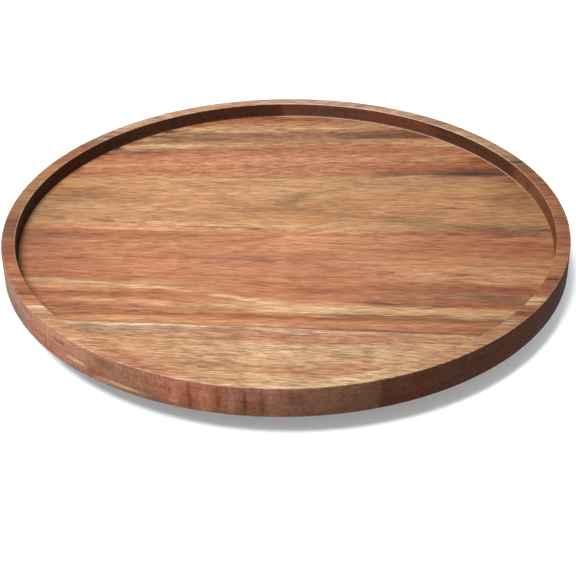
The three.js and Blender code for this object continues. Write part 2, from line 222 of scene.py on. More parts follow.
# Each board: how strong its fine grain is (crisp), a tint over all of it, its glue line (where it crosses
# x = 0, its slope and strength), the slope of its grain, its extent across the grain at x = 0, the tones
# across it at its left end, middle and right end, and the streaks that stand out: tone, middle, half
# length, half width, slope and strength. Slopes are in degrees.
BOARDS = {
    "acacia_back": {
        "crisp": 1.2,
        "tint": (1.13, 1.15, 1.13),
        "slope": 0.0,
        "across": (0.42, 1.0),
        "left": [
            (1.0, "tan"), (0.95, "salmon"), (0.9, "rust"), (0.86, "terracotta"), (0.84, "tan"),
            (0.81, "honey"), (0.79, "olive"), (0.755, "straw"), (0.73, "olive"), (0.7, "tan"),
            (0.675, "cream"), (0.655, "olive"), (0.635, "mauve"), (0.61, "terracotta"), (0.55, "salmon"),
            (0.53, "apricot"), (0.49, "salmon"), (0.45, "terracotta"), (0.43, "honey"),
        ],
        "middle": [
            (1.0, "bone"), (0.95, "tan"), (0.925, "rust"), (0.9, "terracotta"), (0.87, "tan"),
            (0.835, "straw"), (0.81, "tan"), (0.785, "mauve"), (0.745, "mauve"), (0.7, "tan"),
            (0.67, "tan"), (0.64, "terracotta"), (0.6, "salmon"), (0.55, "apricot"), (0.52, "salmon"),
            (0.49, "rose"), (0.465, "salmon"), (0.435, "tan"),
        ],
        "right": [
            (1.0, "bone"), (0.9, "tan"), (0.82, "tan"), (0.79, "umber"), (0.745, "umber"), (0.72, "tan"),
            (0.69, "honey"), (0.65, "tan"), (0.62, "terracotta"), (0.58, "salmon"), (0.54, "tan"),
            (0.5, "terracotta"), (0.465, "rust"), (0.44, "umber"), (0.425, "smoke"),
        ],
        "streaks": [
            ("olive", -0.38, 0.75, 0.26, 0.06, 0, 0.75), ("smoke", -0.3, 0.735, 0.16, 0.016, 0, 0.8),
            ("smoke", -0.43, 0.762, 0.12, 0.012, 0, 0.8), ("char", -0.36, 0.783, 0.06, 0.007, 0, 0.8),
            ("smoke", -0.62, 0.715, 0.08, 0.012, 0, 0.8), ("umber", -0.16, 0.752, 0.1, 0.008, 0, 0.7),
            ("char", -0.46, 0.815, 0.09, 0.016, 0, 0.9), ("char", -0.53, 0.78, 0.08, 0.017, 0, 0.95),
            ("char", -0.6, 0.752, 0.07, 0.012, 0, 0.9), ("cream", -0.34, 0.835, 0.1, 0.012, 0, 0.8),
            ("cream", -0.2, 0.805, 0.12, 0.014, 0, 0.7), ("straw", -0.52, 0.745, 0.1, 0.018, 0, 0.7),
            ("cream", -0.5, 0.7, 0.13, 0.009, 0, 0.9), ("cream", -0.42, 0.675, 0.1, 0.008, 0, 0.8),
            ("char", -0.69, 0.668, 0.08, 0.024, 0, 1.0), ("char", -0.73, 0.622, 0.08, 0.016, 0, 1.0),
            ("smoke", -0.57, 0.642, 0.07, 0.012, 0, 0.7), ("rust", -0.35, 0.865, 0.08, 0.02, 0, 0.8),
            ("rust", -0.03, 0.915, 0.14, 0.02, 0, 0.7), ("umber", -0.1, 0.945, 0.1, 0.012, 0, 0.7),
            ("rust", -0.77, 0.59, 0.08, 0.03, 0, 0.9), ("umber", -0.84, 0.49, 0.08, 0.04, 0, 0.8),
            ("cream", 0.16, 0.828, 0.17, 0.008, 0, 0.8), ("smoke", 0.37, 0.745, 0.18, 0.028, 0, 1.0),
            ("mauve", 0.1, 0.77, 0.2, 0.03, 0, 0.7), ("smoke", 0.24, 0.772, 0.1, 0.01, 0, 0.6),
            # The umber streak at (0.58, 0.75), along the foot of the rim wall at the back right, is painted
            # shadow.
            ("umber", 0.58, 0.75, 0.14, 0.035, 0, 1.0), ("cream", 0.5, 0.695, 0.15, 0.01, 0, 0.8),
            ("cream", 0.6, 0.668, 0.09, 0.008, 0, 0.7), ("straw", 0.48, 0.545, 0.1, 0.012, 0, 0.8),
            ("rose", 0.1, 0.475, 0.14, 0.02, 0, 0.8), ("straw", -0.12, 0.56, 0.12, 0.012, 0, 0.5),
            ("rust", 0.76, 0.53, 0.07, 0.05, 0, 0.8), ("rust", -0.45, 0.47, 0.1, 0.007, 0, 0.5),
            ("terracotta", 0.3, 0.6, 0.14, 0.015, 0, 0.5),
        ],
    },
    "acacia_mid_back": {
        "crisp": 0.5,
        "tint": (1.08, 1.08, 1.02),
        "slope": -2.8,
        "across": (-0.03, 0.47),
        "left": [
            (0.47, "terracotta"), (0.43, "straw"), (0.4, "honey"), (0.34, "honey"), (0.29, "tan"),
            (0.24, "tan"), (0.2, "honey"), (0.16, "straw"), (0.12, "tan"), (0.09, "honey"),
            (0.055, "straw"), (0.03, "apricot"), (0.0, "salmon"),
        ],
        "middle": [
            (0.47, "terracotta"), (0.44, "rose"), (0.42, "tan"), (0.4, "straw"), (0.35, "honey"),
            (0.3, "straw"), (0.25, "honey"), (0.2, "tan"), (0.15, "tan"), (0.1, "tan"), (0.06, "honey"),
            (0.035, "straw"), (0.0, "honey"),
        ],
        "right": [
            (0.47, "umber"), (0.445, "smoke"), (0.42, "tan"), (0.38, "tan"), (0.33, "honey"), (0.27, "tan"),
            (0.2, "honey"), (0.13, "tan"), (0.09, "tan"), (0.05, "olive"), (0.02, "mauve"), (0.0, "rust"),
        ],
        "streaks": [
            ("char", 0.72, 0.425, 0.16, 0.014, -1, 0.9), ("smoke", 0.84, 0.405, 0.1, 0.012, -2, 0.8),
            ("straw", 0.48, 0.4, 0.13, 0.014, -1, 0.6), ("umber", 0.5, 0.383, 0.03, 0.007, 0, 0.8),
            ("olive", 0.27, 0.1, 0.15, 0.025, -8, 0.7), ("olive", 0.46, 0.06, 0.2, 0.026, -8, 0.8),
            ("umber", 0.76, 0.0, 0.24, 0.018, -4, 0.5), ("straw", 0.38, 0.175, 0.16, 0.02, -4, 0.5),
            ("umber", 0.62, 0.155, 0.09, 0.006, 0, 0.9), ("umber", 0.49, 0.168, 0.05, 0.005, -3, 0.7),
            ("umber", -0.83, 0.132, 0.13, 0.006, -8, 0.7), ("umber", -0.6, 0.093, 0.16, 0.008, -9, 0.8),
            ("umber", -0.33, 0.048, 0.18, 0.008, -8, 0.8), ("umber", -0.08, 0.012, 0.14, 0.006, -6, 0.7),
            ("cream", -0.55, 0.035, 0.28, 0.012, -4, 0.6), ("olive", -0.82, 0.28, 0.16, 0.08, 0, 0.55),
            ("olive", -0.92, 0.15, 0.12, 0.2, 0, 0.45), ("char", 0.965, 0.235, 0.05, 0.01, -2, 1.0),
            ("umber", 0.95, 0.275, 0.06, 0.012, -2, 1.0), ("char", 0.945, 0.33, 0.05, 0.009, -2, 1.0),
            ("umber", 0.93, 0.372, 0.05, 0.012, -2, 1.0), ("umber", 0.97, 0.16, 0.05, 0.012, -2, 1.0),
            ("salmon", -0.06, 0.27, 0.1, 0.03, -3, 0.35), ("salmon", 0.24, 0.24, 0.07, 0.035, 0, 0.5),
            # The wide umber patch at (0.88, 0.22) darkens the board's right end: painted shade.
            ("umber", 0.88, 0.22, 0.2, 0.14, 0, 0.45), ("umber", 0.86, 0.36, 0.14, 0.03, 0, 0.5),
            ("umber", 0.3, 0.375, 0.1, 0.006, 2, 0.5),
        ],
    },
    "acacia_mid_front": {
        "crisp": 0.4,
        "tint": (0.97, 0.98, 0.92),
        "glue": (-0.608, -4.9, 0.85),
        "slope": -3.9,
        "across": (-0.62, 0.02),
        "left": [
            (0.02, "terracotta"), (-0.05, "terracotta"), (-0.1, "salmon"), (-0.16, "salmon"),
            (-0.22, "salmon"), (-0.28, "salmon"), (-0.33, "terracotta"), (-0.36, "straw"),
            (-0.4, "apricot"), (-0.43, "rust"), (-0.46, "tan"), (-0.48, "salmon"), (-0.505, "rust"),
            (-0.53, "tan"), (-0.55, "rust"), (-0.575, "apricot"), (-0.6, "tan"),
        ],
        "middle": [
            (0.02, "salmon"), (-0.04, "apricot"), (-0.1, "apricot"), (-0.15, "salmon"), (-0.2, "rose"),
            (-0.26, "salmon"), (-0.32, "salmon"), (-0.38, "terracotta"), (-0.44, "salmon"),
            (-0.465, "apricot"), (-0.49, "cream"), (-0.515, "honey"), (-0.54, "rust"), (-0.56, "salmon"),
            (-0.58, "apricot"), (-0.605, "salmon"),
        ],
        "right": [
            (0.02, "terracotta"), (-0.01, "salmon"), (-0.04, "terracotta"), (-0.1, "terracotta"),
            (-0.15, "salmon"), (-0.2, "honey"), (-0.25, "apricot"), (-0.3, "honey"), (-0.34, "rust"),
            (-0.4, "mauve"), (-0.45, "rust"), (-0.48, "honey"), (-0.51, "straw"), (-0.535, "umber"),
            (-0.56, "honey"), (-0.585, "rust"), (-0.61, "terracotta"),
        ],
        "streaks": [
            ("mauve", -0.87, -0.01, 0.2, 0.06, 0, 0.6), ("mauve", -0.9, -0.12, 0.16, 0.14, 0, 0.35),
            ("terracotta", -0.78, -0.18, 0.2, 0.07, 0, 0.5), ("straw", -0.68, -0.046, 0.09, 0.008, 0, 0.7),
            ("apricot", -0.48, -0.15, 0.1, 0.007, -24, 0.7),
            ("terracotta", -0.55, -0.29, 0.13, 0.025, -2, 0.8),
            ("cream", -0.7, -0.315, 0.12, 0.01, -2, 0.9), ("cream", -0.48, -0.352, 0.2, 0.016, -10, 0.9),
            ("cream", -0.14, -0.435, 0.22, 0.015, -12, 0.9), ("rust", -0.7, -0.385, 0.16, 0.014, -6, 0.5),
            ("rust", -0.38, -0.44, 0.22, 0.013, -10, 0.5), ("straw", -0.6, -0.43, 0.18, 0.01, -6, 0.8),
            ("umber", -0.68, -0.475, 0.15, 0.009, -6, 0.8), ("umber", -0.4, -0.512, 0.22, 0.008, -6, 0.85),
            ("straw", -0.45, -0.545, 0.25, 0.009, -5, 0.6), ("char", -0.55, -0.495, 0.1, 0.004, -6, 0.8),
            ("rust", 0.66, -0.372, 0.22, 0.02, -13, 0.65), ("umber", 0.7, -0.45, 0.12, 0.03, -5, 0.5),
            ("smoke", 0.33, -0.468, 0.12, 0.01, -3, 0.9), ("cream", 0.25, -0.497, 0.3, 0.013, -5, 0.9),
            ("straw", 0.6, -0.52, 0.17, 0.01, -2, 0.8), ("rust", 0.64, -0.6, 0.2, 0.02, -5, 0.7),
            ("umber", 0.3, -0.543, 0.26, 0.009, -5, 0.9), ("rust", 0.76, -0.04, 0.22, 0.01, 0, 0.8),
            ("rust", 0.82, -0.095, 0.15, 0.012, 0, 0.8), ("straw", 0.82, -0.063, 0.12, 0.008, 0, 0.5),
            ("cream", 0.45, -0.3, 0.1, 0.007, 0, 0.8), ("umber", 0.34, -0.283, 0.05, 0.005, 0, 0.8),
            ("umber", 0.62, -0.302, 0.09, 0.005, 0, 0.8), ("char", 0.453, -0.155, 0.003, 0.014, 0, 0.9),
            ("char", 0.5, -0.5, 0.09, 0.004, 6, 0.8), ("terracotta", 0.2, -0.39, 0.25, 0.04, -3, 0.5),
            ("umber", -0.1, -0.18, 0.09, 0.03, -12, 0.35), ("apricot", 0.3, -0.2, 0.2, 0.05, -2, 0.4),
        ],
    },
    "acacia_front": {
        "crisp": 1.1,
        "tint": (0.97, 1.03, 1.04),
        "slope": -4.9,
        "across": (-1.0, -0.58),
        "left": [
            (-0.58, "tan"), (-0.622, "straw"), (-0.64, "fawn"), (-0.68, "tan"), (-0.72, "tan"),
            (-0.76, "honey"), (-0.8, "tan"), (-0.85, "honey"), (-0.9, "straw"), (-0.96, "tan"),
            (-1.0, "salmon"),
        ],
        "middle": [
            (-0.58, "salmon"), (-0.618, "bone"), (-0.635, "rose"), (-0.67, "tan"), (-0.695, "straw"),
            (-0.75, "straw"), (-0.79, "straw"), (-0.82, "tan"), (-0.86, "honey"), (-0.89, "cream"),
            (-0.93, "straw"), (-1.0, "cream"),
        ],
        "right": [
            (-0.58, "rust"), (-0.61, "tan"), (-0.64, "tan"), (-0.68, "straw"), (-0.74, "straw"),
            (-0.78, "tan"), (-0.82, "rose"), (-0.86, "straw"), (-0.91, "cream"), (-0.96, "straw"),
            (-1.0, "tan"),
        ],
        "streaks": [
            ("cream", -0.47, -0.579, 0.34, 0.011, -4.9, 1.0), ("cream", -0.8, -0.553, 0.12, 0.014, -4, 1.0),
            ("salmon", -0.5, -0.75, 0.09, 0.035, -35, 0.7), ("olive", -0.15, -0.618, 0.13, 0.012, -4, 0.6),
            ("olive", 0.05, -0.672, 0.14, 0.01, -4, 0.4), ("cream", -0.05, -0.74, 0.2, 0.02, -4, 0.25),
            ("rose", 0.2, -0.82, 0.2, 0.02, -3, 0.5), ("rose", -0.25, -0.66, 0.2, 0.016, -4, 0.4),
            ("bone", 0.25, -0.735, 0.15, 0.02, -5, 0.5), ("tan", 0.1, -0.68, 0.5, 0.02, -4, 0.4),
            ("tan", -0.3, -0.7, 0.25, 0.03, -4, 0.4), ("tan", 0.3, -0.86, 0.25, 0.02, 0, 0.4),
            ("umber", 0.5, -0.652, 0.25, 0.004, -3, 0.5), ("salmon", -0.45, -0.88, 0.15, 0.03, -25, 0.5),
            ("cream", 0.12, -0.9, 0.2, 0.015, 5, 0.8),
        ],
    },
    "acacia_base": {
        "crisp": 1.0,
        "tint": (1.0, 1.0, 1.0),
        "slope": 2.0,
        "across": (-0.65, 0.65),
        "left": [
            (0.65, "salmon"), (0.5, "tan"), (0.36, "honey"), (0.22, "terracotta"), (0.1, "tan"),
            (0.0, "umber"), (-0.12, "tan"), (-0.3, "honey"), (-0.42, "terracotta"), (-0.65, "tan"),
        ],
        "middle": [
            (0.65, "tan"), (0.48, "honey"), (0.3, "tan"), (0.16, "rust"), (0.05, "tan"), (-0.06, "mauve"),
            (-0.2, "honey"), (-0.36, "tan"), (-0.5, "salmon"), (-0.65, "terracotta"),
        ],
        "right": [
            (0.65, "honey"), (0.5, "tan"), (0.33, "olive"), (0.2, "tan"), (0.08, "rust"), (-0.08, "tan"),
            (-0.24, "straw"), (-0.4, "honey"), (-0.54, "umber"), (-0.65, "tan"),
        ],
        "streaks": [
            ("umber", -0.2, 0.12, 0.3, 0.02, 3, 0.7), ("cream", 0.2, -0.26, 0.25, 0.012, 2, 0.7),
            ("char", 0.3, 0.04, 0.2, 0.01, 1, 0.6),
        ],
    },
}


def grain(g, place, slope):
    """Fibre streaks of three sizes, pores and a slow blotch, all running with the grain; each 0 to 1."""
    along = g.turn(place, -slope)
    drift = g.noise(g.stretch(along, 1.3, 4.0), 2.0)
    bent = g.node("VectorMath", {0: along, 1: g.join(0.0, g.math("MULTIPLY", drift, 0.05))}).outputs[0]
    return {
        "broad": g.remap(g.noise(g.stretch(bent, 3.4, 45.0), 4.0, 0.6), 0.3, 0.7),
        "fibre": g.noise(g.stretch(bent, 9.0, 105.0), 3.0, 0.6),
        "fine": g.remap(g.noise(g.stretch(bent, 14.0, 200.0), 2.0, 0.6), 0.35, 0.65),
        "hair": g.remap(g.noise(g.stretch(bent, 22.0, 340.0), 2.0), 0.35, 0.65),
        "flecks": g.remap(g.noise(g.stretch(bent, 24.0, 110.0), 2.0, 0.65), 0.35, 0.65),
        "pores": g.remap(g.noise(g.stretch(bent, 30.0, 430.0), 1.0), 0.64, 0.72),
        "blotch": g.remap(g.noise(g.stretch(along, 4.0, 13.0), 3.0, 0.6), 0.25, 0.75),
        "ripple": g.remap(g.noise(g.stretch(along, 26.0, 60.0), 2.0, 0.5, 1.2), 0.3, 0.7),
    }


# How each grain streak shades the wood: where in the streak it starts and is full, its strength, how much
# a board's crispness adds to that, and the tint it multiplies by.
GRAIN_TINTS = [
    ("flecks", 0.5, 0.0, 0.0, 0.5, (0.64, 0.55, 0.5)),
    ("flecks", 0.55, 1.0, 0.0, 0.4, (1.2, 1.25, 1.3)),
    ("broad", 0.45, 0.0, 0.5, 0.0, (0.62, 0.52, 0.46)),
    ("broad", 0.6, 1.0, 0.5, 0.0, (1.22, 1.28, 1.34)),
    ("fibre", 0.5, 0.3, 0.42, 0.0, (0.6, 0.5, 0.44)),
    ("fibre", 0.52, 0.68, 0.35, 0.0, (1.2, 1.24, 1.28)),
    ("fine", 0.5, 0.0, 0.45, 0.2, (0.58, 0.48, 0.42)),
    ("fine", 0.55, 1.0, 0.5, 0.0, (1.22, 1.28, 1.34)),
    ("hair", 0.5, 0.0, 0.6, 0.0, (0.66, 0.58, 0.52)),
    ("blotch", 0.5, 0.0, 0.35, 0.0, (0.78, 0.72, 0.68)),
    ("ripple", 0.5, 1.0, 0.18, 0.0, (1.18, 1.18, 1.16)),
]
PORE_TINT, PORE_STRENGTH = (0.45, 0.36, 0.3), 0.5


def tinted(g, amount, colour, tint):
    return g.mix(amount, colour, tint + (1,), "MULTIPLY")


def shade_by_grain(g, colour, streak, crisp=1.0):
    """Darkens and reddens along the dark fibres, pales along the light ones, and drops into the pores."""
    for name, start, full, strength, added, tint in GRAIN_TINTS:
        amount = g.remap(streak[name], start, full, 0.0, strength + added * crisp)
        colour = tinted(g, amount, colour, tint)
    return tinted(g, g.math("MULTIPLY", streak["pores"], PORE_STRENGTH), colour, PORE_TINT)


def oil_finish(g, streak):
    """Satin oil: a little duller on the light fibres and in the pores, with the pores just open."""
    rough = g.remap(streak["fine"], 0.0, 1.0, 0.44, 0.54)
    g.set(Roughness=g.math("MULTIPLY_ADD", streak["pores"], 0.2, rough))
    height = g.math("MULTIPLY_ADD", streak["pores"], -0.8, streak["hair"])
    height = g.math("MULTIPLY_ADD", streak["fine"], 0.6, height)
    bump = g.node("Bump", {"Height": height, "Strength": 0.25, "Distance": 0.12 * MM})
    g.set(Normal=bump.outputs[0])
    g.shader.inputs["Specular IOR Level"].default_value = 0.35


def board_wood(name):
    """One board's face: tones across it that change from end to end, its own streaks, and fine grain."""
    board = BOARDS[name]
    g = Graph(name)
    place = g.position()
    streak = grain(g, place, board["slope"])
    wander = g.math("SUBTRACT", g.noise(g.stretch(place, 1.6, 3.2), 3.0), 0.5)
    ragged = g.math("SUBTRACT", g.noise(g.stretch(place, 5.0, 26.0), 3.0), 0.5)
    fray = g.math("SUBTRACT", streak["fibre"], 0.5)
    shift = g.math("MULTIPLY_ADD", ragged, 0.035, g.math("MULTIPLY", wander, 0.05))
    shift = g.math("MULTIPLY_ADD", fray, 0.05, shift)
    bent = g.node("VectorMath", {0: place, 1: g.join(0.0, shift)}).outputs[0]
    x, _, _ = g.split(place)
    _, across, _ = g.split(g.turn(bent, -board["slope"]))
    low, high = board["across"]
    left, middle, right = (g.ramp(across, board[part], low, high) for part in ("left", "middle", "right"))
    x = g.math("MULTIPLY_ADD", wander, 0.5, x)
    colour = g.mix(g.remap(x, -0.75, 0.0), left, middle)
    colour = g.mix(g.remap(x, 0.05, 0.7), colour, right)
    for mark in board["streaks"]:
        colour = g.stroke(colour, bent, *mark, fray=fray)
    if name == "acacia_mid_back":
        colour = cathedral(g, colour, bent, fray)
    colour = rim_top(g, colour, place, fray)
    colour = shade_by_grain(g, colour, streak, board["crisp"])
    colour = recess_tint_and_painted_light(g, colour, place, board["tint"])
    if "glue" in board:
        colour = glue_line(g, colour, place, streak["broad"], *board["glue"])
    g.set(Base_Color=colour)
    oil_finish(g, streak)
    return g.material


# Heights over which a mark comes in, in tray radii: near the rim's top, and above the tray's underside.
NEAR_TOP, ABOVE_UNDERSIDE = (0.195, 0.2), (0.14, 0.15)


def rim_top(g, colour, place, fray):
    """The rim's top: the board's figure half lost under tones that change around it, with painted sheen at
    the back and painted highlights along its edges.
    """
    x, y, z = g.split(place)
    radius = g.radius(place)
    high = g.remap(z, *NEAR_TOP)
    on_rim = g.math("MULTIPLY", g.remap(radius, HEEL, HEEL + 0.001), high)
    band = g.ramp(g.bearing(place), RIM_TOP, 0.0, 360.0)
    colour = g.mix(g.math("MULTIPLY", on_rim, g.remap(x, 0.8, 0.95, 0.62, 0.4)), colour, band)
    marked = colour
    for mark in RIM_MARKS:
        marked = g.stroke(marked, place, *mark, fray=fray)
    colour = g.mix(on_rim, colour, marked)
    # Painted highlights: a thin light line on the rim's inner top edge, strongest at the left back, and a
    # faint one on its outer top edge all round.
    highlight_sides = g.math("MULTIPLY", high, g.remap(x, -0.8, 0.2, 0.42, 0.1))
    highlight_sides = g.math("MULTIPLY", highlight_sides, g.remap(y, -0.4, 0.0))
    inner_edge_highlight = g.math("MULTIPLY", g.remap(radius, HEEL + 0.0055, HEEL + 0.003), highlight_sides)
    outer_edge_highlight = g.math("MULTIPLY", g.remap(radius, 0.9945, 0.9965), g.math("MULTIPLY", high, 0.2))
    colour = g.mix(inner_edge_highlight, colour, tone("petal"))
    return g.mix(outer_edge_highlight, colour, tone("petal"))


def recess_tint_and_painted_light(g, colour, place, tint):
    """The board's tint, a painted highlight on the round at the foot of the wall at the back right, and ends
    darkened with painted shade.
    """
    x, y, z = g.split(place)
    radius = g.radius(place)
    outside, inside = g.remap(radius, HEEL - 0.0105, HEEL - 0.006), g.remap(radius, HEEL + 0.001, HEEL)
    # A painted highlight along the round at the foot of the wall, on the back right only.
    pale = g.math("MULTIPLY", outside, inside)
    above = g.math("MULTIPLY", g.remap(z, *ABOVE_UNDERSIDE), g.remap(x, -0.1, 0.1))
    pale = g.math("MULTIPLY", pale, above)
    pale = g.math("MULTIPLY", pale, g.remap(y, 0.0, 0.6, 0.0, 0.95))
    colour = tinted(g, 1.0, colour, tint)
    colour = g.mix(pale, colour, tone("glint"))
    # Both ends darker: painted shade where the light falls off towards the tray's sides.
    colour = tinted(g, g.remap(x, -0.4, -0.95), colour, (0.78, 0.75, 0.74))
    return tinted(g, g.remap(x, 0.5, 0.95), colour, (0.9, 0.87, 0.84))


def glue_line(g, colour, place, broad, crossing, slope, strength):
    """A dark hairline along a glued edge, stronger and weaker by turns."""
    _, across, _ = g.split(g.turn(place, -slope))
    away = g.math("ABSOLUTE", g.math("SUBTRACT", across, crossing * math.cos(math.radians(slope))))
    x, _, _ = g.split(place)
    line = g.remap(away, 0.0095, 0.003, 0.0, strength)
    line = g.math("MULTIPLY", line, g.remap(x, -0.2, 0.3, 0.45, 1.0))
    return g.mix(g.math("MULTIPLY", line, g.remap(broad, 1.0, 0.3, 0.6, 1.0)), colour, tone("char"))


# The arch: its middle line, how sharply it bends, and its lines: tip, breadth, tone and strength.
ARCH_MIDDLE, ARCH_SHARPNESS = 0.215, 22.0
ARCH_LINES = [(0.0, 0.09, "olive", 0.85), (0.16, 0.05, "olive", 0.4)]


def cathedral(g, colour, place, fray):
    """The pointed arch in the board behind the middle: nested dark lines opening to the right."""
    x, y, _ = g.split(place)
    rise = g.math("SUBTRACT", y, ARCH_MIDDLE)
    arch = g.math("MULTIPLY_ADD", g.math("MULTIPLY", rise, rise), -ARCH_SHARPNESS, x)
    for tip, breadth, name, strength in ARCH_LINES:
        away = g.math("ABSOLUTE", g.math("SUBTRACT", arch, tip))
        away = g.math("MULTIPLY_ADD", fray, 0.1, away)
        line = g.remap(away, breadth, 0.1 * breadth, 0.0, strength)
        colour = g.mix(g.math("MULTIPLY", line, g.remap(x, 0.42, 0.08)), colour, tone(name))
    return colour


# Streaks on the rim's top only: tone, middle, half length, half width, slope and strength.
RIM_MARKS = [
    ("char", 0.885, -0.417, 0.05, 0.008, -3, 1.0), ("rust", 0.85, -0.468, 0.06, 0.025, -3, 0.8),
    ("cream", 0.805, -0.548, 0.07, 0.034, -3, 1.0), ("umber", 0.81, -0.552, 0.05, 0.006, -3, 0.9),
    ("umber", 0.752, -0.618, 0.07, 0.022, -3, 1.0), ("cream", 0.71, -0.667, 0.07, 0.013, -3, 1.0),
    ("cream", -0.812, -0.548, 0.05, 0.018, -4, 1.0), ("umber", -0.865, -0.468, 0.06, 0.02, -4, 0.9),
    ("char", 0.893, 0.413, 0.05, 0.01, 0, 0.9), ("straw", -0.89, -0.38, 0.05, 0.012, -4, 0.7),
]

# Tones around the rim's top and the two upright walls, by the angle from +X; 270 degrees is the front.
# On the rim's top, the pale bone and petal tones from 28 to 132 degrees, at the back, are painted sheen.
RIM_TOP = [
    (0, "rust"), (12, "rust"), (22, "umber"), (28, "bone"), (33, "bone"), (37, "petal"), (40, "petal"),
    (50, "bone"), (60, "petal"), (132, "petal"), (140, "fawn"), (144, "rust"), (156, "tan"), (168, "olive"),
    (176, "umber"), (184, "char"), (192, "rust"), (204, "rust"), (214, "tan"), (228, "honey"),
    (238, "rust"), (246, "rust"), (252, "tan"), (264, "tan"), (272, "straw"), (290, "straw"), (300, "tan"),
    (312, "tan"), (324, "terracotta"), (336, "terracotta"), (348, "rust"), (360, "rust"),
]
OUTER_WALL = [
    (0, "umber"), (40, "umber"), (70, "rust"), (100, "mauve"), (130, "umber"), (160, "olive"),
    (185, "mauve"), (200, "fawn"), (211, "fawn"), (218, "blush"), (231.4, "blush"), (231.6, "walnut"),
    (246.7, "walnut"), (247.0, "russet"), (257, "russet"), (261, "mauve"), (266.8, "mauve"),
    (267.0, "blush"), (273, "walnut"), (285.8, "walnut"), (286.2, "umber"), (296, "cocoa"), (326, "cocoa"),
    (332, "umber"), (360, "umber"),
]
INNER_WALL = [
    (0, "salmon"), (6, "salmon"), (14, "honey"), (23.6, "salmon"), (24.2, "cocoa"), (48, "cocoa"),
    (55, "terracotta"), (69.1, "terracotta"), (69.7, "mauve"), (84, "mauve"), (90, "terracotta"),
    (91, "umber"), (112, "umber"), (119, "cocoa"), (175, "cocoa"), (200, "terracotta"), (240, "salmon"),
    (241, "umber"), (290, "mauve"), (291, "terracotta"), (360, "salmon"),
]
BASE_WALL = [
    (0, "tan"), (50, "umber"), (95, "tan"), (180, "mauve"), (230, "tan"), (275, "olive"), (360, "tan"),
]

# Tints over the whole of each wall: the outer wall's brightens it with painted light, the inner wall's
# darkens the recess with painted shade, and the base wall's is a plain tint.
OUTER_PAINTED_LIGHT, INNER_PAINTED_SHADE, BASE_TINT = (1.47, 1.35, 1.4), (0.345, 0.29, 0.29), (0.8, 0.78, 0.78)

# Streaks on the outer wall: tone, angle in degrees, height above the wall's middle in radii, half length in
# degrees, half width in radii, slope and strength.
OUTER_MARKS = [
    ("mauve", 206.0, 0.0, 1.0, 0.08, 0, 0.5), ("terracotta", 214.0, 0.0, 1.4, 0.08, 0, 0.5),
    ("umber", 219.5, 0.0, 0.6, 0.08, 0, 0.3), ("cocoa", 224.5, 0.02, 3.0, 0.012, 0, 0.7),
    ("cream", 228.5, -0.015, 4.0, 0.012, 0, 0.9), ("cream", 239.0, -0.035, 7.0, 0.010, 0, 0.9),
    ("straw", 234.5, -0.045, 5.0, 0.008, 0, 0.7), ("smoke", 236.0, 0.028, 4.0, 0.02, 0, 0.6),
    ("rust", 243.5, 0.03, 3.0, 0.02, 0, 0.5), ("rust", 234.0, -0.02, 2.4, 0.02, 0, 0.5),
    ("apricot", 250.0, -0.02, 1.6, 0.08, 0, 0.6), ("umber", 249.2, 0.0, 0.35, 0.02, 0, 0.7),
    ("rust", 252.8, 0.0, 0.7, 0.08, 0, 1.0), ("apricot", 255.6, -0.02, 1.6, 0.08, 0, 0.65),
    ("straw", 249.6, -0.03, 1.2, 0.008, 0, 0.8), ("rust", 258.0, 0.0, 0.6, 0.08, 0, 0.9),
    ("apricot", 260.3, -0.02, 0.9, 0.08, 0, 0.55), ("umber", 262.7, 0.0, 0.6, 0.08, 0, 0.8),
    ("terracotta", 264.0, -0.01, 0.5, 0.05, 0, 0.7), ("umber", 265.6, 0.0, 0.5, 0.08, 0, 0.7),
    ("tan", 276.0, -0.02, 5.0, 0.02, 0, 0.5), ("umber", 271.0, 0.02, 3.0, 0.03, 0, 0.4),
    ("olive", 278.0, 0.0, 4.0, 0.06, 0, 0.35), ("rust", 290.0, 0.0, 3.0, 0.06, 0, 0.6),
    ("rust", 294.0, -0.02, 3.0, 0.03, 0, 0.5), ("smoke", 288.5, 0.03, 2.4, 0.03, 0, 0.5),
]


